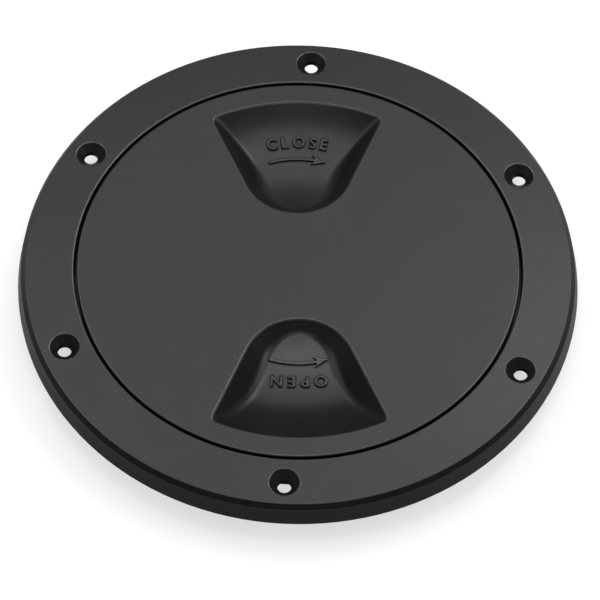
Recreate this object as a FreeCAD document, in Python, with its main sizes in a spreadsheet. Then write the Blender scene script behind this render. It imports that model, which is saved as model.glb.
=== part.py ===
import FreeCAD, Part
import math
import os
from types import SimpleNamespace

import Sketcher

# Round screw-in deck inspection plate: a flanged ring for the deck, a lid that screws into it, and the seal between.
# Millimetres. The origin is on the lid's axis in the deck's surface, +Z points up out of the deck,
# and +Y points to the screw beside the finger pocket that is marked for closing.

Vector = FreeCAD.Vector
doc = FreeCAD.newDocument("deck_inspection_plate")
sheet = doc.addObject("Spreadsheet::Sheet", "sizes")

SIZES = {
    # bore of the ring, which the lid screws into
    "bore_radius": 76.6,
    # flange of the deck ring
    "flange_width": 20.5,
    "flange_height": 10.0,
    "flange_fall": 0.7,
    "flange_wall": 3.2,
    "wall_draft": 1.3,
    "shoulder_width": 1.6,
    "shoulder_height": 2.1,
    "screw_plate": 5.0,
    "ring_break": 0.35,
    # screws that fix the ring
    "screw_offset": 9.4,
    "far_screw_angle": 29.4,
    "near_screw_angle": 25.8,
    "screw_hole": 5.0,
    "countersink": 10.9,
    "countersink_angle": 90.0,
    # ribs in the cored underside of the flange
    "rib_thickness": 1.8,
    "rib_count": 12,
    "rib_lift": 0.6,
    # rebate for the lid, and spigot through the deck
    "cup_wall": 2.5,
    "spigot_wall": 3.2,
    "spigot_depth": 10.0,
    # seal
    "seal_width": 2.8,
    "seal_thickness": 2.8,
    "seal_clearance": 0.1,
    # lid
    "lid_angle": 3.5,
    "lid_cover": 1.0,
    "lid_gap": 0.9,
    "lid_thickness": 3.0,
    "lid_break": 0.45,
    "neck_clearance": 0.4,
    "neck_step": 0.2,
    "skirt_wall": 2.5,
    "skirt_depth": 15.5,
    # thread
    "thread_pitch": 5.0,
    "thread_depth": 2.0,
    "thread_base": 2.6,
    "thread_crest": 1.2,
    "thread_clearance": 0.3,
    "thread_shift": 0.35,
    "thread_root": 0.3,
    "lid_thread_start": 6.5,
    "lid_thread_turns": 1.25,
    "ring_thread_turns": 1.25,
    # finger pockets
    "pocket_land": 8.0,
    "pocket_margin": 2.0,
    "pocket_start": 22.9,
    "nose_radius": 20.2,
    "side_angle": 23.4,
    "wall_angle": 44.0,
    "pocket_depth": 7.6,
    "deepest_inset": 23.1,
    "nose_floor": 1.2,
    "nose_floor_radius": 21.0,
    "pocket_wall": 2.4,
    "tip_blend": 2.0,
    "nose_blend": 5.0,
    "middle_blend": 6.0,
    "corner_blend": 3.5,
    "rim_break": 0.35,
}


class Size:
    """A number that knows the expression it comes from, so that sketches and features can follow the sheet."""

    def __init__(self, number, text):
        self.number = float(number)
        self.text = text

    def __add__(self, other):
        other = as_size(other)
        return Size(self.number + other.number, "(%s + %s)" % (self.text, other.text))

    def __sub__(self, other):
        other = as_size(other)
        return Size(self.number - other.number, "(%s - %s)" % (self.text, other.text))

    def __mul__(self, other):
        other = as_size(other)
        return Size(self.number * other.number, "(%s * %s)" % (self.text, other.text))

    def __truediv__(self, other):
        other = as_size(other)
        return Size(self.number / other.number, "(%s / %s)" % (self.text, other.text))

    def __neg__(self):
        return Size(-self.number, "(-%s)" % self.text)

    def squared(self):
        return self * self

    def sine(self):
        return Size(math.sin(math.radians(self.number)), "sin(%s * 1 deg)" % self.text)

    def cosine(self):
        return Size(math.cos(math.radians(self.number)), "cos(%s * 1 deg)" % self.text)


def as_size(number):
    return number if isinstance(number, Size) else Size(number, str(number))


for row, (alias, number) in enumerate(SIZES.items(), start=1):
    sheet.set("A%d" % row, alias)
    sheet.set("B%d" % row, str(number))
    sheet.setAlias("B%d" % row, alias)
doc.recompute()

dim = SimpleNamespace(**{alias: Size(number, "sizes." + alias) for alias, number in SIZES.items()})
ZERO = as_size(0)

# Radii that several pieces share, from the bore outwards and then inwards.
NECK = dim.bore_radius - dim.neck_clearance
SEAL_INNER = NECK + dim.seal_clearance
SEAL_OUTER = SEAL_INNER + dim.seal_width
LID = SEAL_OUTER + dim.lid_cover
REBATE = LID + dim.lid_gap
CUP = REBATE + dim.cup_wall
SCREWS = REBATE + dim.screw_offset
FLANGE = REBATE + dim.flange_width
FLANGE_INNER = FLANGE - dim.flange_wall
SPIGOT = dim.bore_radius + dim.spigot_wall
RING_CREST = dim.bore_radius - dim.thread_depth
LID_CREST = dim.bore_radius - dim.thread_clearance
LID_ROOT = RING_CREST - dim.thread_clearance
SKIRT_INNER = LID_ROOT - dim.skirt_wall
POCKET_OUTER = LID - dim.pocket_land
POCKET_DEEPEST = POCKET_OUTER - dim.deepest_inset

# Heights that several pieces share, from the top down.
RIM = dim.flange_height - dim.lid_thickness
SEAL_TOP = RIM - dim.seal_clearance
SEAL_FOOT = SEAL_TOP - dim.seal_thickness
SEAT = SEAL_FOOT - dim.seal_clearance
SHOULDER = dim.flange_height - dim.flange_fall
WALL_TOP = SHOULDER - dim.shoulder_height
WEB = dim.flange_height - dim.screw_plate


def origin_feature(body, role):
    return [feature for feature in body.Origin.OriginFeatures if feature.Role == role][0]


def new_sketch(body, name, role):
    sketch = body.newObject("Sketcher::SketchObject", name)
    sketch.AttachmentSupport = [(origin_feature(body, role), "")]
    sketch.MapMode = "FlatFace"
    return sketch


def dimension(sketch, kind, *where, size):
    """Adds a driving dimension that follows the sheet."""
    index = sketch.addConstraint(Sketcher.Constraint(kind, *where, size.number))
    sketch.setExpression("Constraints[%d]" % index, size.text)


def angle_dimension(sketch, line, size):
    """Adds the driving angle of a line, which follows the sheet."""
    index = sketch.addConstraint(Sketcher.Constraint("Angle", line, math.radians(size.number)))
    sketch.setExpression("Constraints[%d]" % index, size.text + " * 1 deg")


def closed_outline(body, name, role, corners):
    """A closed outline of straight edges whose corners follow the sheet."""
    sketch = new_sketch(body, name, role)
    spots = [Vector(across.number, up.number, 0) for across, up in corners]
    count = len(corners)
    for k in range(count):
        sketch.addGeometry(Part.LineSegment(spots[k], spots[(k + 1) % count]), False)
    for k in range(count):
        sketch.addConstraint(Sketcher.Constraint("Coincident", k, 2, (k + 1) % count, 1))
    for k, (across, up) in enumerate(corners):
        dimension(sketch, "DistanceX", -1, 1, k, 1, size=across)
        dimension(sketch, "DistanceY", -1, 1, k, 1, size=up)
    return sketch


def turned(body, name, sketch, kind="PartDesign::Revolution"):
    """A full revolution, or a groove, of a sketch about the part's axis."""
    feature = body.newObject(kind, name)
    feature.Profile = sketch
    feature.ReferenceAxis = (sketch, ["V_Axis"])
    feature.Angle = 360
    doc.recompute()
    return feature


def circle_edges(shape, radius, height):
    """Names of the circular edges of one radius at one height."""
    near = 1e-4
    found = []
    for number, edge in enumerate(shape.Edges, start=1):
        if not isinstance(edge.Curve, Part.Circle) or abs(edge.Curve.Radius - radius.number) > near:
            continue
        if abs(edge.BoundBox.Center.z - height.number) < near and edge.BoundBox.ZLength < near:
            found.append("Edge%d" % number)
    return found


def broken_circle(body, name, base, radius, height, size):
    """Breaks a circular edge with a small chamfer."""
    feature = body.newObject("PartDesign::Chamfer", name)
    feature.Base = (base, circle_edges(base.Shape, radius, height))
    feature.setExpression("Size", size.text)
    doc.recompute()
    return feature


def repeated(body, name, original, count):
    """Copies of a feature, evenly spaced about the part's axis."""
    pattern = body.newObject("PartDesign::PolarPattern", name)
    pattern.Originals = [original]
    pattern.Axis = (origin_feature(body, "Z_Axis"), [""])
    pattern.Angle = 360
    pattern.setExpression("Occurrences", count.text)
    body.Tip = pattern
    doc.recompute()
    return pattern


def thread_ridge(body, name, root, crest, start, turns):
    """A right-hand ridge of trapezoid section that climbs round the axis from one height."""
    section = closed_outline(body, name + "_section", "XZ_Plane", [
        (root, start - dim.thread_base / 2),
        (root, start + dim.thread_base / 2),
        (crest, start + dim.thread_crest / 2),
        (crest, start - dim.thread_crest / 2),
    ])
    ridge = body.newObject("PartDesign::AdditiveHelix", name)
    ridge.Profile = section
    ridge.ReferenceAxis = (section, ["V_Axis"])
    ridge.Mode = 0
    ridge.LeftHanded = False
    ridge.setExpression("Pitch", dim.thread_pitch.text)
    ridge.setExpression("Height", (dim.thread_pitch * turns).text)
    doc.recompute()
    return ridge


def make_deck_ring():
    """Flange, rebate, seat for the seal and threaded spigot, moulded as one piece."""
    body = doc.addObject("PartDesign::Body", "deck_ring")
    section = closed_outline(body, "ring_section", "XZ_Plane", [
        (dim.bore_radius, -dim.spigot_depth),
        (SPIGOT, -dim.spigot_depth),
        (SPIGOT, ZERO),
        (CUP, ZERO),
        (CUP, WEB),
        (FLANGE_INNER, WEB),
        (FLANGE_INNER, ZERO),
        (FLANGE, ZERO),
        (FLANGE - dim.wall_draft, WALL_TOP),
        (FLANGE - dim.wall_draft - dim.shoulder_width, SHOULDER),
        (REBATE, dim.flange_height),
        (REBATE, SEAT),
        (dim.bore_radius, SEAT),
    ])
    turned(body, "ring_turned", section)

    rib_outline = closed_outline(body, "rib_outline", "XY_Plane", [
        (CUP - dim.cup_wall / 2, -dim.rib_thickness / 2),
        (FLANGE_INNER + dim.flange_wall / 2, -dim.rib_thickness / 2),
        (FLANGE_INNER + dim.flange_wall / 2, dim.rib_thickness / 2),
        (CUP - dim.cup_wall / 2, dim.rib_thickness / 2),
    ])
    half_step = as_size(180) / dim.rib_count
    rib_outline.setExpression("AttachmentOffset.Base.z", dim.rib_lift.text)
    rib_outline.setExpression("AttachmentOffset.Rotation.Angle", half_step.text)
    rib = body.newObject("PartDesign::Pad", "rib")
    rib.Profile = rib_outline
    rib.setExpression("Length", (WEB - dim.rib_lift + dim.screw_plate / 4).text)
    doc.recompute()
    repeated(body, "ribs", rib, dim.rib_count)

    holes = make_screw_holes(body)
    broken_circle(body, "rebate_edge", holes, REBATE, dim.flange_height, dim.ring_break)
    thread_start = dim.thread_pitch / 2 - dim.thread_shift - dim.lid_thread_start
    root = dim.bore_radius + dim.thread_root
    thread_ridge(body, "ring_thread", root, RING_CREST, thread_start, dim.ring_thread_turns)
    return body


def make_screw_holes(body):
    """Countersunk holes on one circle: one at the far side, one at the near side and two at each side."""
    radius = dim.screw_hole / 2
    spots = new_sketch(body, "screw_spots", "XY_Plane")
    spots.setExpression("AttachmentOffset.Base.z", dim.flange_height.text)
    places = [(ZERO, SCREWS), (ZERO, -SCREWS)]
    for angle, side in ((dim.far_screw_angle, 1), (dim.near_screw_angle, -1)):
        across = SCREWS * angle.cosine()
        up = SCREWS * angle.sine() * side
        places += [(across, up), (-across, up)]
    for index, (across, up) in enumerate(places):
        middle = Vector(across.number, up.number, 0)
        spots.addGeometry(Part.Circle(middle, Vector(0, 0, 1), radius.number), False)
        dimension(spots, "Radius", index, size=radius)
        dimension(spots, "DistanceX", -1, 1, index, 3, size=across)
        dimension(spots, "DistanceY", -1, 1, index, 3, size=up)
    doc.recompute()
    holes = body.newObject("PartDesign::Hole", "screw_holes")
    holes.Profile = spots
    doc.recompute()
    holes.Threaded = False
    holes.DepthType = "ThroughAll"
    holes.setExpression("Diameter", dim.screw_hole.text)
    holes.HoleCutType = "Countersink"
    holes.HoleCutCustomValues = True
    # The flange's top falls away outwards, so the cone starts wider to be full size where it meets the surface.
    holes.setExpression("HoleCutDiameter", (dim.countersink + dim.flange_fall).text)
    holes.setExpression("HoleCutCountersinkAngle", dim.countersink_angle.text)
    doc.recompute()
    return holes


def make_lid_blank():
    """The lid before its pockets: plate, neck for the seal and threaded skirt."""
    body = doc.addObject("PartDesign::Body", "lid_blank")
    section = closed_outline(body, "lid_section", "XZ_Plane", [
        (ZERO, RIM),
        (SKIRT_INNER, RIM),
        (SKIRT_INNER, RIM - dim.skirt_depth),
        (LID_ROOT, RIM - dim.skirt_depth),
        (LID_ROOT, SEAT + dim.neck_step),
        (NECK, SEAT + dim.neck_step),
        (NECK, RIM),
        (LID, RIM),
        (LID, dim.flange_height),
        (ZERO, dim.flange_height),
    ])
    plate = turned(body, "lid_turned", section)
    broken_circle(body, "lid_edge", plate, LID, dim.flange_height, dim.lid_break)
    root = LID_ROOT - dim.thread_root
    thread_ridge(body, "lid_thread", root, LID_CREST, -dim.lid_thread_start, dim.lid_thread_turns)
    return body


def fan_outline(body, name, grow, outer):
    """A nose towards the lid's centre, two straight sides that spread, and an arc along the lid's edge."""
    sketch = new_sketch(body, name, "XY_Plane")
    sketch.setExpression("AttachmentOffset.Base.z", dim.flange_height.text)
    nose = dim.nose_radius + grow
    middle = dim.pocket_start + dim.nose_radius
    side = math.radians(dim.side_angle.number)
    tip = Vector(0, middle.number - nose.number, 0)
    touch = Vector(nose.number * math.cos(side), middle.number - nose.number * math.sin(side), 0)
    half_turn = (math.pi / 2 - side) / 2
    bend = Vector(nose.number * math.sin(half_turn), middle.number - nose.number * math.cos(half_turn), 0)
    along = Vector(math.sin(side), math.cos(side), 0)
    ahead = touch.dot(along)
    reach = math.sqrt(ahead ** 2 + outer.number ** 2 - touch.dot(touch)) - ahead
    corner = touch + along * reach

    def opposite(point):
        return Vector(-point.x, point.y, 0)

    sketch.addGeometry(Part.Arc(tip, bend, touch), False)
    sketch.addGeometry(Part.LineSegment(touch, corner), False)
    sketch.addGeometry(Part.Arc(corner, Vector(0, outer.number, 0), opposite(corner)), False)
    sketch.addGeometry(Part.LineSegment(opposite(corner), opposite(touch)), False)
    sketch.addGeometry(Part.Arc(opposite(touch), opposite(bend), tip), False)
    right_nose, right_side, edge, left_side, left_nose = range(5)
    upright = -2
    for constraint in (
        Sketcher.Constraint("Coincident", right_nose, 3, left_nose, 3),
        Sketcher.Constraint("Coincident", right_nose, 1, left_nose, 2),
        Sketcher.Constraint("PointOnObject", right_nose, 1, upright),
        Sketcher.Constraint("PointOnObject", right_nose, 3, upright),
        Sketcher.Constraint("Tangent", right_nose, 2, right_side, 1),
        Sketcher.Constraint("Tangent", left_side, 2, left_nose, 1),
        Sketcher.Constraint("Coincident", right_side, 2, edge, 1),
        Sketcher.Constraint("Coincident", edge, 2, left_side, 1),
        Sketcher.Constraint("Coincident", edge, 3, -1, 1),
        Sketcher.Constraint("Horizontal", edge, 1, edge, 2),
    ):
        sketch.addConstraint(constraint)
    dimension(sketch, "Radius", right_nose, size=nose)
    dimension(sketch, "Radius", edge, size=outer)
    dimension(sketch, "DistanceY", -1, 1, right_nose, 3, size=middle)
    angle_dimension(sketch, right_side, as_size(90) - dim.side_angle)
    return sketch


def floor_outline(body, name, grow):
    """All that lies below the pocket's floor: two arcs that meet at the deepest point, and a box under them."""
    sketch = new_sketch(body, name, "YZ_Plane")
    lowest = dim.flange_height - dim.pocket_depth - grow
    inner_limit = dim.pocket_start / 2
    outer_limit = POCKET_OUTER + dim.pocket_margin * 3
    under = dim.flange_height - dim.pocket_depth * 4
    rise = dim.pocket_depth - dim.nose_floor
    run = POCKET_DEEPEST - dim.nose_floor_radius
    inner_arc = (run.squared() + rise.squared()) / (rise * 2) + grow
    outer_arc = (dim.deepest_inset.squared() + dim.pocket_depth.squared()) / (dim.pocket_depth * 2) + grow

    def on_floor(across, radius):
        away = across - POCKET_DEEPEST.number
        return Vector(across, lowest.number + radius - math.sqrt(radius ** 2 - away ** 2), 0)

    start = on_floor(inner_limit.number, inner_arc.number)
    finish = on_floor(outer_limit.number, outer_arc.number)
    deepest = Vector(POCKET_DEEPEST.number, lowest.number, 0)
    half_in = on_floor((start.x + deepest.x) / 2, inner_arc.number)
    half_out = on_floor((finish.x + deepest.x) / 2, outer_arc.number)
    below_finish = Vector(finish.x, under.number, 0)
    below_start = Vector(start.x, under.number, 0)
    sketch.addGeometry(Part.Arc(start, half_in, deepest), False)
    sketch.addGeometry(Part.Arc(deepest, half_out, finish), False)
    sketch.addGeometry(Part.LineSegment(finish, below_finish), False)
    sketch.addGeometry(Part.LineSegment(below_finish, below_start), False)
    sketch.addGeometry(Part.LineSegment(below_start, start), False)
    inner, outer, out_side, under_side, in_side = range(5)
    for constraint in (
        Sketcher.Constraint("Coincident", inner, 2, outer, 1),
        Sketcher.Constraint("Coincident", outer, 2, out_side, 1),
        Sketcher.Constraint("Coincident", out_side, 2, under_side, 1),
        Sketcher.Constraint("Coincident", under_side, 2, in_side, 1),
        Sketcher.Constraint("Coincident", in_side, 2, inner, 1),
        Sketcher.Constraint("Vertical", out_side),
        Sketcher.Constraint("Horizontal", under_side),
        Sketcher.Constraint("Vertical", in_side),
    ):
        sketch.addConstraint(constraint)
    dimension(sketch, "Radius", inner, size=inner_arc)
    dimension(sketch, "Radius", outer, size=outer_arc)
    dimension(sketch, "DistanceX", -1, 1, inner, 3, size=POCKET_DEEPEST)
    dimension(sketch, "DistanceX", -1, 1, outer, 3, size=POCKET_DEEPEST)
    dimension(sketch, "DistanceX", -1, 1, inner, 2, size=POCKET_DEEPEST)
    dimension(sketch, "DistanceY", -1, 1, inner, 2, size=lowest)
    dimension(sketch, "DistanceX", -1, 1, inner, 1, size=inner_limit)
    dimension(sketch, "DistanceX", -1, 1, outer, 2, size=outer_limit)
    dimension(sketch, "DistanceY", -1, 1, under_side, 1, size=under)
    return sketch


def scoop(name, grow, outer, turn):
    """A scooped fan with leaning walls."""
    body = doc.addObject("PartDesign::Body", name)
    block = body.newObject("PartDesign::Pad", name + "_block")
    block.Profile = fan_outline(body, name + "_fan", grow / dim.wall_angle.cosine(), outer)
    block.Reversed = True
    block.setExpression("Length", (dim.pocket_depth + grow + dim.pocket_margin).text)
    block.setExpression("TaperAngle", (-dim.wall_angle).text)
    doc.recompute()
    turned(body, name + "_floor_cut", floor_outline(body, name + "_floor", grow), "PartDesign::Groove")
    body.setExpression("Placement.Rotation.Angle", (dim.lid_angle + turn).text)
    doc.recompute()
    return body


def blended(name, base):
    """The scooped fan with a blend of changing radius where its walls meet its floor."""
    blend = doc.addObject("Part::Fillet", name)
    blend.Base = base
    blend.Edges = blended_edges(base.Shape)
    doc.recompute()
    return blend


def blended_edges(shape):
    """Edges between a wall and the floor, with the blend's radius at both ends of each."""
    blends = [dim.tip_blend, dim.nose_blend, dim.middle_blend, dim.corner_blend]
    floor_kinds = (Part.Toroid, Part.SurfaceOfRevolution)
    side = dim.side_angle
    touch_across = dim.nose_radius * side.cosine()
    touch_up = dim.pocket_start + dim.nose_radius - dim.nose_radius * side.sine()
    stations = [
        dim.pocket_start.number,
        math.hypot(touch_across.number, touch_up.number),
        POCKET_DEEPEST.number,
        POCKET_OUTER.number,
    ]

    def blend_at(place):
        away = math.hypot(place.x, place.y)
        for k in range(len(stations) - 1):
            if away < stations[k + 1]:
                share = max(0.0, (away - stations[k]) / (stations[k + 1] - stations[k]))
                return blends[k].number + (blends[k + 1].number - blends[k].number) * share
        return blends[-1].number

    picked = []
    for number, edge in enumerate(shape.Edges, start=1):
        beside = [face for face in shape.Faces if any(edge.isSame(other) for other in face.Edges)]
        floors = [face for face in beside if isinstance(face.Surface, floor_kinds)]
        if len(floors) != 1 or edge.BoundBox.ZLength < dim.rim_break.number:
            continue
        ends = [edge.valueAt(edge.FirstParameter), edge.valueAt(edge.LastParameter)]
        picked.append((number, blend_at(ends[0]), blend_at(ends[1])))
    return picked


def make_lid():
    """The lid with two finger pockets: shells stand out below its plate, and the scoops are cut into them."""
    pocket_edge = POCKET_OUTER + dim.pocket_margin
    shell_edge = SKIRT_INNER + dim.skirt_wall / 2
    hollows = doc.addObject("Part::MultiFuse", "pockets")
    plate = doc.addObject("Part::MultiFuse", "lid_with_shells")
    cutters = []
    shells = []
    for side, turn in (("close", 0), ("open", 180)):
        cutters.append(blended("%s_pocket" % side, scoop("%s_scoop" % side, ZERO, pocket_edge, turn)))
        shells.append(scoop("%s_shell" % side, dim.pocket_wall, shell_edge, turn))
    hollows.Shapes = cutters
    plate.Shapes = [make_lid_blank()] + shells
    doc.recompute()
    cut = doc.addObject("Part::Cut", "lid_cut")
    cut.Base = plate
    cut.Tool = hollows
    doc.recompute()
    lid = doc.addObject("Part::Chamfer", "lid")
    lid.Base = cut
    lid.Edges = rim_edges(cut.Shape)
    doc.recompute()
    return lid


def rim_edges(shape):
    """Edges of the pockets in the lid's top face."""
    near = 1e-4
    picked = []
    for number, edge in enumerate(shape.Edges, start=1):
        box = edge.BoundBox
        if box.ZMin < dim.flange_height.number - near or box.ZMax > dim.flange_height.number + near:
            continue
        if max(math.hypot(vertex.X, vertex.Y) for vertex in edge.Vertexes) < POCKET_OUTER.number + near:
            picked.append((number, dim.rim_break.number, dim.rim_break.number))
    return picked


def make_seal():
    """Rubber seal of square section on the lid's neck, between the ring's seat and the lid's rim."""
    body = doc.addObject("PartDesign::Body", "seal_ring")
    section = closed_outline(body, "seal_section", "XZ_Plane", [
        (SEAL_INNER, SEAL_FOOT),
        (SEAL_OUTER, SEAL_FOOT),
        (SEAL_OUTER, SEAL_TOP),
        (SEAL_INNER, SEAL_TOP),
    ])
    turned(body, "seal_turned", section)
    return body


pieces = {"deck_ring": make_deck_ring(), "lid": make_lid(), "seal_ring": make_seal()}

for each in doc.Objects:
    if "Invalid" in each.State or "Error" in each.State:
        raise RuntimeError("%s was not built: %s" % (each.Name, each.State))

os.makedirs("parts", exist_ok=True)
for name, piece in pieces.items():
    piece.Label = name
    shape = piece.Shape
    if shape.isNull() or not shape.isValid() or len(shape.Solids) != 1:
        raise RuntimeError("%s is not one sound solid" % name)
    shape.exportStep("parts/%s.step" % name)
    print("%s: %.1f cm3, z %.2f to %.2f" % (name, shape.Volume / 1000, shape.BoundBox.ZMin, shape.BoundBox.ZMax))
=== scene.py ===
import math

import bmesh
import bpy
from mathutils import Matrix, Vector
from mathutils.bvhtree import BVHTree


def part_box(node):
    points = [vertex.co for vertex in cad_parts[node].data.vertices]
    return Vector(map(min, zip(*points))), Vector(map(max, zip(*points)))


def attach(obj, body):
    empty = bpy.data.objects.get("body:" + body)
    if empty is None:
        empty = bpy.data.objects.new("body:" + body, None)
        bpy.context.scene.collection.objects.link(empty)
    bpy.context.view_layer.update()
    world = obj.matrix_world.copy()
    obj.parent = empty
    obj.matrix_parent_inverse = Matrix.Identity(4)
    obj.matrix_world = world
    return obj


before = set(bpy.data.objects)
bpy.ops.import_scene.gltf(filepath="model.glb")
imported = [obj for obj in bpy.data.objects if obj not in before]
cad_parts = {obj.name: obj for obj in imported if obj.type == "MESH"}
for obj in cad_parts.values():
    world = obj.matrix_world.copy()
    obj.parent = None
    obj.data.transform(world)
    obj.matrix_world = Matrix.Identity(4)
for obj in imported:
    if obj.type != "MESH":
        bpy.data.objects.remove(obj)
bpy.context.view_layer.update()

MM = 0.001

# Heights that the frame gives: the spigot's foot, which stands on the floor, and the lid's top.
RING_LOW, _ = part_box("deck_ring")
_, LID_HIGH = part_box("lid")
FLOOR = RING_LOW.z
LID_TOP = LID_HIGH.z

# Camera. The picture is square and shows the lid's top from the side of the pocket marked for opening.
PICTURE = 600
FOCAL_PIXELS = 4000.0
SENSOR = 36.0
CAMERA_ELEVATION = math.radians(57.4)
CAMERA_TURN = math.radians(2.1)
CAMERA_ROLL = math.radians(1.15)
CAMERA_DISTANCE = 1435.3 * MM
CAMERA_TARGET = Vector((0.86 * MM, -14.9 * MM, 0))
CAMERA_REACH = 50

# The lid's turn in the ring at rest, and the turn from one pocket to the other.
LID_ANGLE = math.radians(3.5)
HALF_TURN = math.pi

# Lettering, raised from the pockets' floors. The weight thickens each stroke, as a share of the type's size.
CLOSE_LETTER_HEIGHT = 4.35 * MM
OPEN_LETTER_HEIGHT = 4.65 * MM
LETTER_WEIGHT = 0.045
LETTER_ROUNDNESS = 6
LETTER_PROUD = 0.7 * MM
LETTER_SUNK = 0.25 * MM
CLOSE_WIDTH = 22.6 * MM
OPEN_WIDTH = 20.6 * MM
CLOSE_TEXT_RADIUS = 58.1 * MM
OPEN_TEXT_RADIUS = 45.0 * MM
CLOSE_TEXT_BEND = 45.0 * MM
OPEN_TEXT_BEND = 120.0 * MM

# Arrows beside the words: a bent shaft and a head whose barbs sweep back.
CLOSE_ARROW_RADIUS = 51.4 * MM
OPEN_ARROW_RADIUS = 37.9 * MM
ARROW_LENGTH = 21.4 * MM
ARROW_BEND = 34.0 * MM
ARROW_SHAFT = 1.1 * MM
ARROW_HEAD_LENGTH = 5.4 * MM
ARROW_HEAD_WIDTH = 4.2 * MM
ARROW_BARB = 1.2 * MM
ARROW_STEPS = 28

# Upper edges of letters and arrows: how far they are broken, in how many steps and how round.
LETTER_EDGE = 0.32 * MM
LETTER_EDGE_STEPS = 3
LETTER_EDGE_ROUND = 0.5

# Limits that tell whether points are one, faces are in one plane, points are level, and faces are upright.
SAME_POINT = 1e-6
SAME_PLANE = math.radians(1)
SAME_LEVEL = 1e-7
UPRIGHT = 0.5

# Height above the lid from which the pockets' floors are looked for.
WELL_ABOVE = 10 * MM

# Colour of the floor's glow and of the room.
WHITE = (1, 1, 1, 1)

# Floor: half its side, its tone for the light it throws back, and the glow and the tone that the camera sees.
FLOOR_HALF = 6.0
FLOOR_TONE = 0.45
FLOOR_GLOW = 0.66
FLOOR_LIFT = 0.35

# Noise: how rough it is unless a texture says so, and the part of its range that is spread out.
NOISE_ROUGHNESS = 0.5
NOISE_LOW = 0.3
NOISE_HIGH = 0.7

# Black plastic: how it bends and reflects light, its tone and its roughness, and how far these vary.
REFRACTION = 1.5
PLASTIC_GLOSS = 0.235
PLASTIC_SHADE = (0.0072, 0.0073, 0.0077)
DARKER = 0.88
LIGHTER = 1.12
RING_ROUGHNESS = 0.33
LID_ROUGHNESS = 0.32
GRAIN_SPREAD = 0.03
PATCH_SPREAD = 0.02

# Its texture: clouds of tone, patches of roughness, and the fine grain of the mould. Scales are per metre.
PLASTIC_CLOUDS = {"scale": 38.0, "detail": 3.0}
PLASTIC_PATCHES = {"scale": 160.0, "detail": 3.0}
PLASTIC_GRAIN = {"scale": 5200.0, "detail": 2.0, "roughness": 0.6}
GRAIN_RELIEF = {"Strength": 0.25, "Distance": 0.02 * MM}

# Its edges are soft, and their gloss is raised there as a painted highlight. That raised gloss is a share of
# the plain surface's gloss.
EDGE_SOFTNESS = 0.6 * MM
EDGE_SAMPLES = 6
EDGE_HIGHLIGHT = 4.2
EDGE_BENT = 0.96
EDGE_FLAT = 0.999

# Painted shade in creases: their gloss is lowered where other surfaces stand close by. Their share of the
# plain gloss, and how much of the space round them is open.
CREASE_GLOSS = 0.25
CREASE_REACH = 1.3 * MM
CREASE_SAMPLES = 8
CREASE_CLOSED = 0.5
CREASE_OPEN = 0.97

# Painted sheen on the pockets' floors: gloss raised towards their inner ends, and less towards their outer
# ends.
CLOSE_SHEEN = 2.1
CLOSE_OUTER_SHEEN = 1.0
OPEN_SHEEN = 1.55
OPEN_OUTER_SHEEN = 0.88
SHEEN_INNER_RADIUS = 36.0 * MM
OUTER_RADIUS = 50.0 * MM

# Depths below the lid's top where that painted sheen starts and is full, and half the band between the
# pockets.
SHEEN_DEPTH_STARTS = 0.5 * MM
SHEEN_DEPTH_FULL = 1.5 * MM
BETWEEN_POCKETS = 5 * MM

# Keeps how far a place lies from the lid's axis and drops its height.
WITHOUT_HEIGHT = (1, 1, 0)

# Black rubber: its tones and its roughness, the texture of each, and its fine relief.
RUBBER_SHADE = (0.012, 0.012, 0.012, 1)
RUBBER_BLOOM = (0.022, 0.022, 0.021, 1)
RUBBER_SMOOTH = 0.55
RUBBER_ROUGH = 0.75
RUBBER_CLOUDS = {"scale": 220.0, "detail": 4.0}
RUBBER_PATCHES = {"scale": 900.0, "detail": 3.0}
RUBBER_GRAIN = {"scale": 2600.0, "detail": 3.0}
RUBBER_RELIEF = {"Strength": 0.3, "Distance": 0.03 * MM}

# Light: a dim even room and soft lamps round the object, all at one distance.
ROOM_LEVEL = 0.16
ROOM_SEEN = 1.0
LAMP_DISTANCE = 1.3

# Lamps: their turns are in degrees to the right of the far side, as the camera sees it.
TOP_LAMP = {"turn": 0, "elevation": 86, "size": 0.6, "power": 4.4}
FAR_LAMP = {"turn": 0, "elevation": 58, "size": 0.6, "power": 3.2}
FAR_RIGHT_LAMP = {"turn": 40, "elevation": 56, "size": 0.45, "power": 5.6}
FAR_LEFT_LAMP = {"turn": -44, "elevation": 56, "size": 0.5, "power": 3.2}
NEAR_LAMP = {"turn": 180, "elevation": 60, "size": 0.5, "power": 0.9}
RIGHT_LAMP = {"turn": 90, "elevation": 45, "size": 0.6, "power": 3.4}
LEFT_LAMP = {"turn": -90, "elevation": 45, "size": 0.6, "power": 2.0}


def node_tree(name):
    """A new material with an empty node tree, and its output node."""
    made = bpy.data.materials.new(name)
    made.use_nodes = True
    tree = made.node_tree
    tree.nodes.clear()
    return made, tree, tree.nodes.new("ShaderNodeOutputMaterial")


def add(tree, kind, values=None, **settings):
    """A node with its settings and the values of its sockets."""
    node = tree.nodes.new(kind)
    for key, setting in settings.items():
        setattr(node, key, setting)
    for key, value in (values or {}).items():
        node.inputs[key].default_value = value
    return node


def noise(tree, place, scale, detail, roughness=NOISE_ROUGHNESS):
    """Noise of one size, in cycles per metre, in the object's own space."""
    node = add(tree, "ShaderNodeTexNoise", {"Scale": scale, "Detail": detail, "Roughness": roughness})
    tree.links.new(place, node.inputs["Vector"])
    return node.outputs["Fac"]


def ranged(tree, value, low, high, start=NOISE_LOW, end=NOISE_HIGH):
    """A value between low and high, as the given value goes from start to end."""
    limits = {"From Min": start, "From Max": end, "To Min": low, "To Max": high}
    node = add(tree, "ShaderNodeMapRange", limits)
    tree.links.new(value, node.inputs["Value"])
    return node.outputs["Result"]


def product(tree, first, second):
    """Two values multiplied."""
    node = add(tree, "ShaderNodeMath", operation="MULTIPLY")
    tree.links.new(first, node.inputs[0])
    tree.links.new(second, node.inputs[1])
    return node.outputs["Value"]


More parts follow.
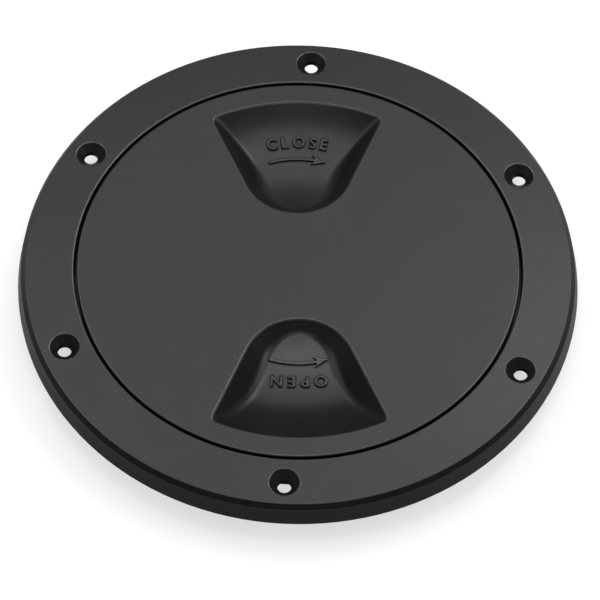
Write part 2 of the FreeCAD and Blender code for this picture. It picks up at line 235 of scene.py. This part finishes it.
def edge_painted_highlight(tree, rounded):
    """Share of the plain gloss, as a painted highlight: above one where the rounded normal turns away from
    the flat face.
    """
    flat = add(tree, "ShaderNodeNewGeometry")
    bend = add(tree, "ShaderNodeVectorMath", operation="DOT_PRODUCT")
    tree.links.new(rounded, bend.inputs[0])
    tree.links.new(flat.outputs["Normal"], bend.inputs[1])
    return ranged(tree, bend.outputs["Value"], EDGE_HIGHLIGHT, 1.0, EDGE_BENT, EDGE_FLAT)


def painted_crease_shade(tree):
    """Share of the plain gloss, as painted shade: below one where other surfaces stand close by."""
    crease = add(tree, "ShaderNodeAmbientOcclusion", {"Distance": CREASE_REACH}, samples=CREASE_SAMPLES)
    return ranged(tree, crease.outputs["AO"], CREASE_GLOSS, 1.0, CREASE_CLOSED, CREASE_OPEN)


def painted_floor_sheen(tree, place):
    """Share of the plain gloss, as a painted sheen: above one at the inner ends of the finger pockets."""
    across = add(tree, "ShaderNodeVectorMath", {1: WITHOUT_HEIGHT}, operation="MULTIPLY")
    tree.links.new(place, across.inputs[0])
    length = add(tree, "ShaderNodeVectorMath", operation="LENGTH")
    tree.links.new(across.outputs["Vector"], length.inputs[0])
    radius = length.outputs["Value"]
    opening = ranged(tree, radius, OPEN_SHEEN - 1, OPEN_OUTER_SHEEN - 1, SHEEN_INNER_RADIUS, OUTER_RADIUS)
    closing = ranged(tree, radius, CLOSE_SHEEN - 1, CLOSE_OUTER_SHEEN - 1, SHEEN_INNER_RADIUS, OUTER_RADIUS)

    parts = add(tree, "ShaderNodeSeparateXYZ")
    tree.links.new(place, parts.inputs["Vector"])
    inside = ranged(tree, parts.outputs["Z"], 1.0, 0.0, LID_TOP - SHEEN_DEPTH_FULL, LID_TOP - SHEEN_DEPTH_STARTS)
    pocket = ranged(tree, parts.outputs["Y"], 0.0, 1.0, -BETWEEN_POCKETS, BETWEEN_POCKETS)
    extra = add(tree, "ShaderNodeMix", data_type="FLOAT")
    tree.links.new(pocket, extra.inputs["Factor"])
    tree.links.new(opening, extra.inputs["A"])
    tree.links.new(closing, extra.inputs["B"])
    share = add(tree, "ShaderNodeMath", {2: 1.0}, operation="MULTIPLY_ADD")
    tree.links.new(extra.outputs["Result"], share.inputs[0])
    tree.links.new(inside, share.inputs[1])
    return share.outputs["Value"]


def moulded_plastic(name, roughness, sheened_pockets):
    """Black satin moulding: fine grain, cloudy tone, soft edges with a painted highlight, painted shade in
    creases, and on request a painted sheen on the pockets' floors.
    """
    made, tree, output = node_tree(name)
    links = tree.links
    place = add(tree, "ShaderNodeTexCoord").outputs["Object"]
    shader = add(tree, "ShaderNodeBsdfPrincipled", {"IOR": REFRACTION})
    links.new(shader.outputs["BSDF"], output.inputs["Surface"])

    tone = add(tree, "ShaderNodeMix", data_type="RGBA")
    tone.inputs["A"].default_value = (*[each * DARKER for each in PLASTIC_SHADE], 1)
    tone.inputs["B"].default_value = (*[each * LIGHTER for each in PLASTIC_SHADE], 1)
    links.new(ranged(tree, noise(tree, place, **PLASTIC_CLOUDS), 0.0, 1.0), tone.inputs["Factor"])
    links.new(tone.outputs["Result"], shader.inputs["Base Color"])

    grain = noise(tree, place, **PLASTIC_GRAIN)
    patches = noise(tree, place, **PLASTIC_PATCHES)
    rough = add(tree, "ShaderNodeMath", operation="ADD")
    links.new(ranged(tree, patches, -PATCH_SPREAD, PATCH_SPREAD), rough.inputs[0])
    links.new(ranged(tree, grain, roughness - GRAIN_SPREAD, roughness + GRAIN_SPREAD), rough.inputs[1])
    links.new(rough.outputs["Value"], shader.inputs["Roughness"])

    rounded = add(tree, "ShaderNodeBevel", {"Radius": EDGE_SOFTNESS}, samples=EDGE_SAMPLES)
    # Painted highlight: gloss raised where the edges round off.
    # Painted shade: gloss lowered in creases.
    share = product(tree, edge_painted_highlight(tree, rounded.outputs["Normal"]), painted_crease_shade(tree))
    # Painted sheen: gloss raised on the pockets' floors.
    if sheened_pockets:
        share = product(tree, share, painted_floor_sheen(tree, place))
    gloss = add(tree, "ShaderNodeMath", {1: PLASTIC_GLOSS}, operation="MULTIPLY")
    links.new(share, gloss.inputs[0])
    links.new(gloss.outputs["Value"], shader.inputs["Specular IOR Level"])

    bump = add(tree, "ShaderNodeBump", GRAIN_RELIEF)
    links.new(grain, bump.inputs["Height"])
    links.new(rounded.outputs["Normal"], bump.inputs["Normal"])
    links.new(bump.outputs["Normal"], shader.inputs["Normal"])
    return made


def seal_rubber():
    """Matt black rubber with a soft bloom."""
    made, tree, output = node_tree("seal_rubber")
    links = tree.links
    place = add(tree, "ShaderNodeTexCoord").outputs["Object"]
    shader = add(tree, "ShaderNodeBsdfPrincipled", {"IOR": REFRACTION})
    links.new(shader.outputs["BSDF"], output.inputs["Surface"])
    tone = add(tree, "ShaderNodeMix", data_type="RGBA")
    tone.inputs["A"].default_value = RUBBER_SHADE
    tone.inputs["B"].default_value = RUBBER_BLOOM
    links.new(ranged(tree, noise(tree, place, **RUBBER_CLOUDS), 0.0, 1.0), tone.inputs["Factor"])
    links.new(tone.outputs["Result"], shader.inputs["Base Color"])
    rough = ranged(tree, noise(tree, place, **RUBBER_PATCHES), RUBBER_SMOOTH, RUBBER_ROUGH)
    links.new(rough, shader.inputs["Roughness"])
    bump = add(tree, "ShaderNodeBump", RUBBER_RELIEF)
    links.new(noise(tree, place, **RUBBER_GRAIN), bump.inputs["Height"])
    links.new(bump.outputs["Normal"], shader.inputs["Normal"])
    return made


def finish_node(name, material):
    """Gives a node that comes from the frame its material."""
    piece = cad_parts[name]
    piece.data.materials.clear()
    piece.data.materials.append(material)


def lid_surface():
    """The lid's mesh as a tree that tells the floor's height under a point."""
    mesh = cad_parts["lid"].data
    corners = [vertex.co.copy() for vertex in mesh.vertices]
    faces = [tuple(face.vertices) for face in mesh.polygons]
    return BVHTree.FromPolygons(corners, faces)


def lie_on_lid(mesh, surface):
    """Lays a mesh on the pocket's floor: its own height becomes height above the floor."""
    above = LID_TOP + WELL_ABOVE
    for vertex in mesh.vertices:
        x, y, height = vertex.co
        hit = surface.ray_cast(Vector((x, y, above)), Vector((0, 0, -1)))[0]
        vertex.co = (x, y, hit.z + height)
    mesh.update()


def letter_mesh(character):
    """One flat letter, at its natural size."""
    curve = bpy.data.curves.new("letter_" + character, "FONT")
    curve.body = character
    curve.align_x = "CENTER"
    curve.resolution_u = LETTER_ROUNDNESS
    curve.offset = LETTER_WEIGHT
    holder = bpy.data.objects.new("letter_" + character, curve)
    bpy.context.scene.collection.objects.link(holder)
    depsgraph = bpy.context.evaluated_depsgraph_get()
    mesh = bpy.data.meshes.new_from_object(holder.evaluated_get(depsgraph))
    bpy.data.objects.remove(holder)
    return mesh


def raised(outline_mesh):
    """Turns a flat mesh into a closed solid, from below the floor to above it, with its upper edge broken."""
    work = bmesh.new()
    work.from_mesh(outline_mesh)
    bmesh.ops.remove_doubles(work, verts=work.verts, dist=SAME_POINT)
    bmesh.ops.dissolve_limit(work, angle_limit=SAME_PLANE, verts=work.verts, edges=work.edges)
    for vertex in work.verts:
        vertex.co.z = -LETTER_SUNK
    bmesh.ops.recalc_face_normals(work, faces=work.faces)
    for face in work.faces:
        if face.normal.z < 0:
            face.normal_flip()
    lifted = bmesh.ops.extrude_face_region(work, geom=list(work.faces))
    top = [each for each in lifted["geom"] if isinstance(each, bmesh.types.BMVert)]
    for vertex in top:
        vertex.co.z = LETTER_PROUD
    bmesh.ops.recalc_face_normals(work, faces=work.faces)
    rim = [each for each in work.edges
           if all(abs(vertex.co.z - LETTER_PROUD) < SAME_LEVEL for vertex in each.verts)
           and any(abs(face.normal.z) < UPRIGHT for face in each.link_faces)]
    bmesh.ops.bevel(work, geom=rim, offset=LETTER_EDGE, segments=LETTER_EDGE_STEPS, affect="EDGES",
                    profile=LETTER_EDGE_ROUND)
    bmesh.ops.triangulate(work, faces=work.faces)
    made = bpy.data.meshes.new("raised")
    work.to_mesh(made)
    work.free()
    return made


def lid_turn(turned):
    """Turn of one pocket about the lid's axis: marked for closing, or half round and marked for opening."""
    return Matrix.Rotation(LID_ANGLE + (HALF_TURN if turned else 0), 4, "Z")


def placed_on_arc(mesh, along, radius, bend, turned):
    """Moves a mesh to its place along an arc that bulges away from the lid's centre."""
    angle = along / bend
    spin = Matrix.Rotation(-angle, 4, "Z")
    middle = Vector((bend * math.sin(angle), radius + bend * (math.cos(angle) - 1), 0))
    mesh.transform(lid_turn(turned) @ Matrix.Translation(middle) @ spin)


def joined(name, parts, surface, material):
    """One piece on the lid from several solids."""
    work = bmesh.new()
    for part in parts:
        work.from_mesh(part)
    made = bpy.data.meshes.new(name)
    work.to_mesh(made)
    work.free()
    lie_on_lid(made, surface)
    made.materials.append(material)
    piece = bpy.data.objects.new(name, made)
    bpy.context.scene.collection.objects.link(piece)
    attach(piece, "cover")


def word(text, height, width, radius, bend, turned, surface, material):
    """A word raised on a pocket's floor, letter by letter along its arc."""
    meshes = [letter_mesh(character) for character in text]
    sides = []
    ends = []
    for mesh in meshes:
        across = [vertex.co.x for vertex in mesh.vertices]
        up = [vertex.co.y for vertex in mesh.vertices]
        sides.append((min(across), max(across)))
        ends.append((min(up), max(up)))
    foot, head = min(ends, key=lambda each: each[1] - each[0])
    scale = height / (head - foot)
    letters = sum(right - left for left, right in sides) * scale
    gap = (width - letters) / (len(text) - 1)
    along = -width / 2
    parts = []
    for mesh, (left, right) in zip(meshes, sides):
        half = (right - left) / 2 * scale
        centred = Matrix.Translation(Vector((-(left + right) / 2, -(foot + head) / 2, 0)))
        mesh.transform(Matrix.Scale(scale, 4) @ centred)
        solid = raised(mesh)
        placed_on_arc(solid, along + half, radius, bend, turned)
        parts.append(solid)
        along += 2 * half + gap
    joined("word_" + text.lower(), parts, surface, material)


def arrow(name, radius, turned, surface, material):
    """A thin arc with a swept head, raised on a pocket's floor. Both arrows point to the object's right."""
    tail = -ARROW_LENGTH / 2
    tip = ARROW_LENGTH / 2
    head_start = tip - ARROW_HEAD_LENGTH
    shaft_length = head_start + ARROW_BARB - tail
    half_shaft = ARROW_SHAFT / 2
    half_head = ARROW_HEAD_WIDTH / 2
    shaft = [tail + shaft_length * step / ARROW_STEPS for step in range(ARROW_STEPS + 1)]
    points = [(along, half_shaft) for along in shaft]
    points += [(head_start, half_head), (tip, 0.0), (head_start, -half_head)]
    points += [(along, -half_shaft) for along in reversed(shaft)]

    side = -1 if turned else 1
    work = bmesh.new()
    corners = []
    for along, across in points:
        angle = side * along / ARROW_BEND
        far = ARROW_BEND + across
        x = far * math.sin(angle)
        y = radius + far * math.cos(angle) - ARROW_BEND
        corners.append(work.verts.new((x, y, 0)))
    work.faces.new(corners)
    bmesh.ops.triangulate(work, faces=work.faces)
    flat = bpy.data.meshes.new(name)
    work.to_mesh(flat)
    work.free()
    solid = raised(flat)
    solid.transform(lid_turn(turned))
    joined(name, [solid], surface, material)


def floor_material():
    """A pale floor that keeps the object's shadow, and that the camera sees nearly white."""
    made, tree, output = node_tree("pale_floor")
    links = tree.links
    matt = add(tree, "ShaderNodeBsdfDiffuse", {"Color": (FLOOR_TONE, FLOOR_TONE, FLOOR_TONE, 1)})
    glow = add(tree, "ShaderNodeEmission", {"Color": WHITE, "Strength": FLOOR_GLOW})
    seen = add(tree, "ShaderNodeBsdfDiffuse", {"Color": (FLOOR_LIFT, FLOOR_LIFT, FLOOR_LIFT, 1)})
    both = add(tree, "ShaderNodeAddShader")
    links.new(seen.outputs["BSDF"], both.inputs[0])
    links.new(glow.outputs["Emission"], both.inputs[1])
    path = add(tree, "ShaderNodeLightPath")
    final = add(tree, "ShaderNodeMixShader")
    links.new(path.outputs["Is Camera Ray"], final.inputs["Fac"])
    links.new(matt.outputs["BSDF"], final.inputs[1])
    links.new(both.outputs["Shader"], final.inputs[2])
    links.new(final.outputs["Shader"], output.inputs["Surface"])
    return made


def floor():
    """Plain pale floor that the spigot stands on."""
    mesh = bpy.data.meshes.new("floor")
    corners = [
        (-FLOOR_HALF, -FLOOR_HALF, 0),
        (FLOOR_HALF, -FLOOR_HALF, 0),
        (FLOOR_HALF, FLOOR_HALF, 0),
        (-FLOOR_HALF, FLOOR_HALF, 0),
    ]
    mesh.from_pydata(corners, [], [(0, 1, 2, 3)])
    piece = bpy.data.objects.new("floor", mesh)
    piece.location = (0, 0, FLOOR)
    bpy.context.scene.collection.objects.link(piece)
    mesh.materials.append(floor_material())


def soft_lamp(name, turn, elevation, size, power):
    """A square lamp at one distance from the object, placed as the camera sees it."""
    round_by = math.radians(turn)
    up = math.radians(elevation)
    away = Vector((math.sin(round_by) * math.cos(up), math.cos(round_by) * math.cos(up), math.sin(up)))
    place = Matrix.Rotation(CAMERA_TURN, 3, "Z") @ away * LAMP_DISTANCE
    lamp = bpy.data.lights.new(name, "AREA")
    lamp.shape = "SQUARE"
    lamp.size = size
    lamp.energy = power
    holder = bpy.data.objects.new(name, lamp)
    holder.location = place
    holder.rotation_euler = (-place).to_track_quat("-Z", "Y").to_euler()
    bpy.context.scene.collection.objects.link(holder)


def lamps():
    """Soft lamps above and round the object."""
    soft_lamp("top_lamp", **TOP_LAMP)
    soft_lamp("far_lamp", **FAR_LAMP)
    soft_lamp("far_right_lamp", **FAR_RIGHT_LAMP)
    soft_lamp("far_left_lamp", **FAR_LEFT_LAMP)
    soft_lamp("near_lamp", **NEAR_LAMP)
    soft_lamp("right_lamp", **RIGHT_LAMP)
    soft_lamp("left_lamp", **LEFT_LAMP)


def room():
    """A dim even room that the camera sees as white."""
    world = bpy.data.worlds.new("room")
    world.use_nodes = True
    tree = world.node_tree
    tree.nodes.clear()
    output = tree.nodes.new("ShaderNodeOutputWorld")
    dim = add(tree, "ShaderNodeBackground", {"Color": WHITE, "Strength": ROOM_LEVEL})
    white = add(tree, "ShaderNodeBackground", {"Color": WHITE, "Strength": ROOM_SEEN})
    path = add(tree, "ShaderNodeLightPath")
    mix = add(tree, "ShaderNodeMixShader")
    tree.links.new(path.outputs["Is Camera Ray"], mix.inputs["Fac"])
    tree.links.new(dim.outputs["Background"], mix.inputs[1])
    tree.links.new(white.outputs["Background"], mix.inputs[2])
    tree.links.new(mix.outputs["Shader"], output.inputs["Surface"])
    bpy.context.scene.world = world


def camera_pose():
    """Turn and place of the camera."""
    back = Vector((0, -math.cos(CAMERA_ELEVATION), math.sin(CAMERA_ELEVATION)))
    right = Vector((1, 0, 0))
    up = back.cross(right)
    rolled_right = math.cos(CAMERA_ROLL) * right + math.sin(CAMERA_ROLL) * up
    rolled_up = math.cos(CAMERA_ROLL) * up - math.sin(CAMERA_ROLL) * right
    pose = Matrix((rolled_right, rolled_up, back)).transposed().to_4x4()
    pose.translation = CAMERA_TARGET + Vector((0, 0, LID_TOP)) + back * CAMERA_DISTANCE
    return Matrix.Rotation(CAMERA_TURN, 4, "Z") @ pose


def camera():
    """The photograph's view: a long lens from above the near edge, with a slight roll."""
    lens = bpy.data.cameras.new("camera")
    lens.sensor_width = SENSOR
    lens.lens = FOCAL_PIXELS / PICTURE * SENSOR
    lens.clip_end = CAMERA_REACH
    holder = bpy.data.objects.new("camera", lens)
    holder.matrix_world = camera_pose()
    bpy.context.scene.collection.objects.link(holder)
    bpy.context.scene.camera = holder


bpy.context.scene.view_settings.view_transform = "Standard"
camera()
lamps()
room()
floor()

ring_plastic = moulded_plastic("ring_plastic", RING_ROUGHNESS, sheened_pockets=False)
lid_plastic = moulded_plastic("lid_plastic", LID_ROUGHNESS, sheened_pockets=True)
finish_node("deck_ring", ring_plastic)
finish_node("lid", lid_plastic)
finish_node("seal_ring", seal_rubber())

surface = lid_surface()
word("CLOSE", CLOSE_LETTER_HEIGHT, CLOSE_WIDTH, CLOSE_TEXT_RADIUS, CLOSE_TEXT_BEND,
     turned=False, surface=surface, material=lid_plastic)
word("OPEN", OPEN_LETTER_HEIGHT, OPEN_WIDTH, OPEN_TEXT_RADIUS, OPEN_TEXT_BEND,
     turned=True, surface=surface, material=lid_plastic)
arrow("arrow_close", CLOSE_ARROW_RADIUS, turned=False, surface=surface, material=lid_plastic)
arrow("arrow_open", OPEN_ARROW_RADIUS, turned=True, surface=surface, material=lid_plastic)
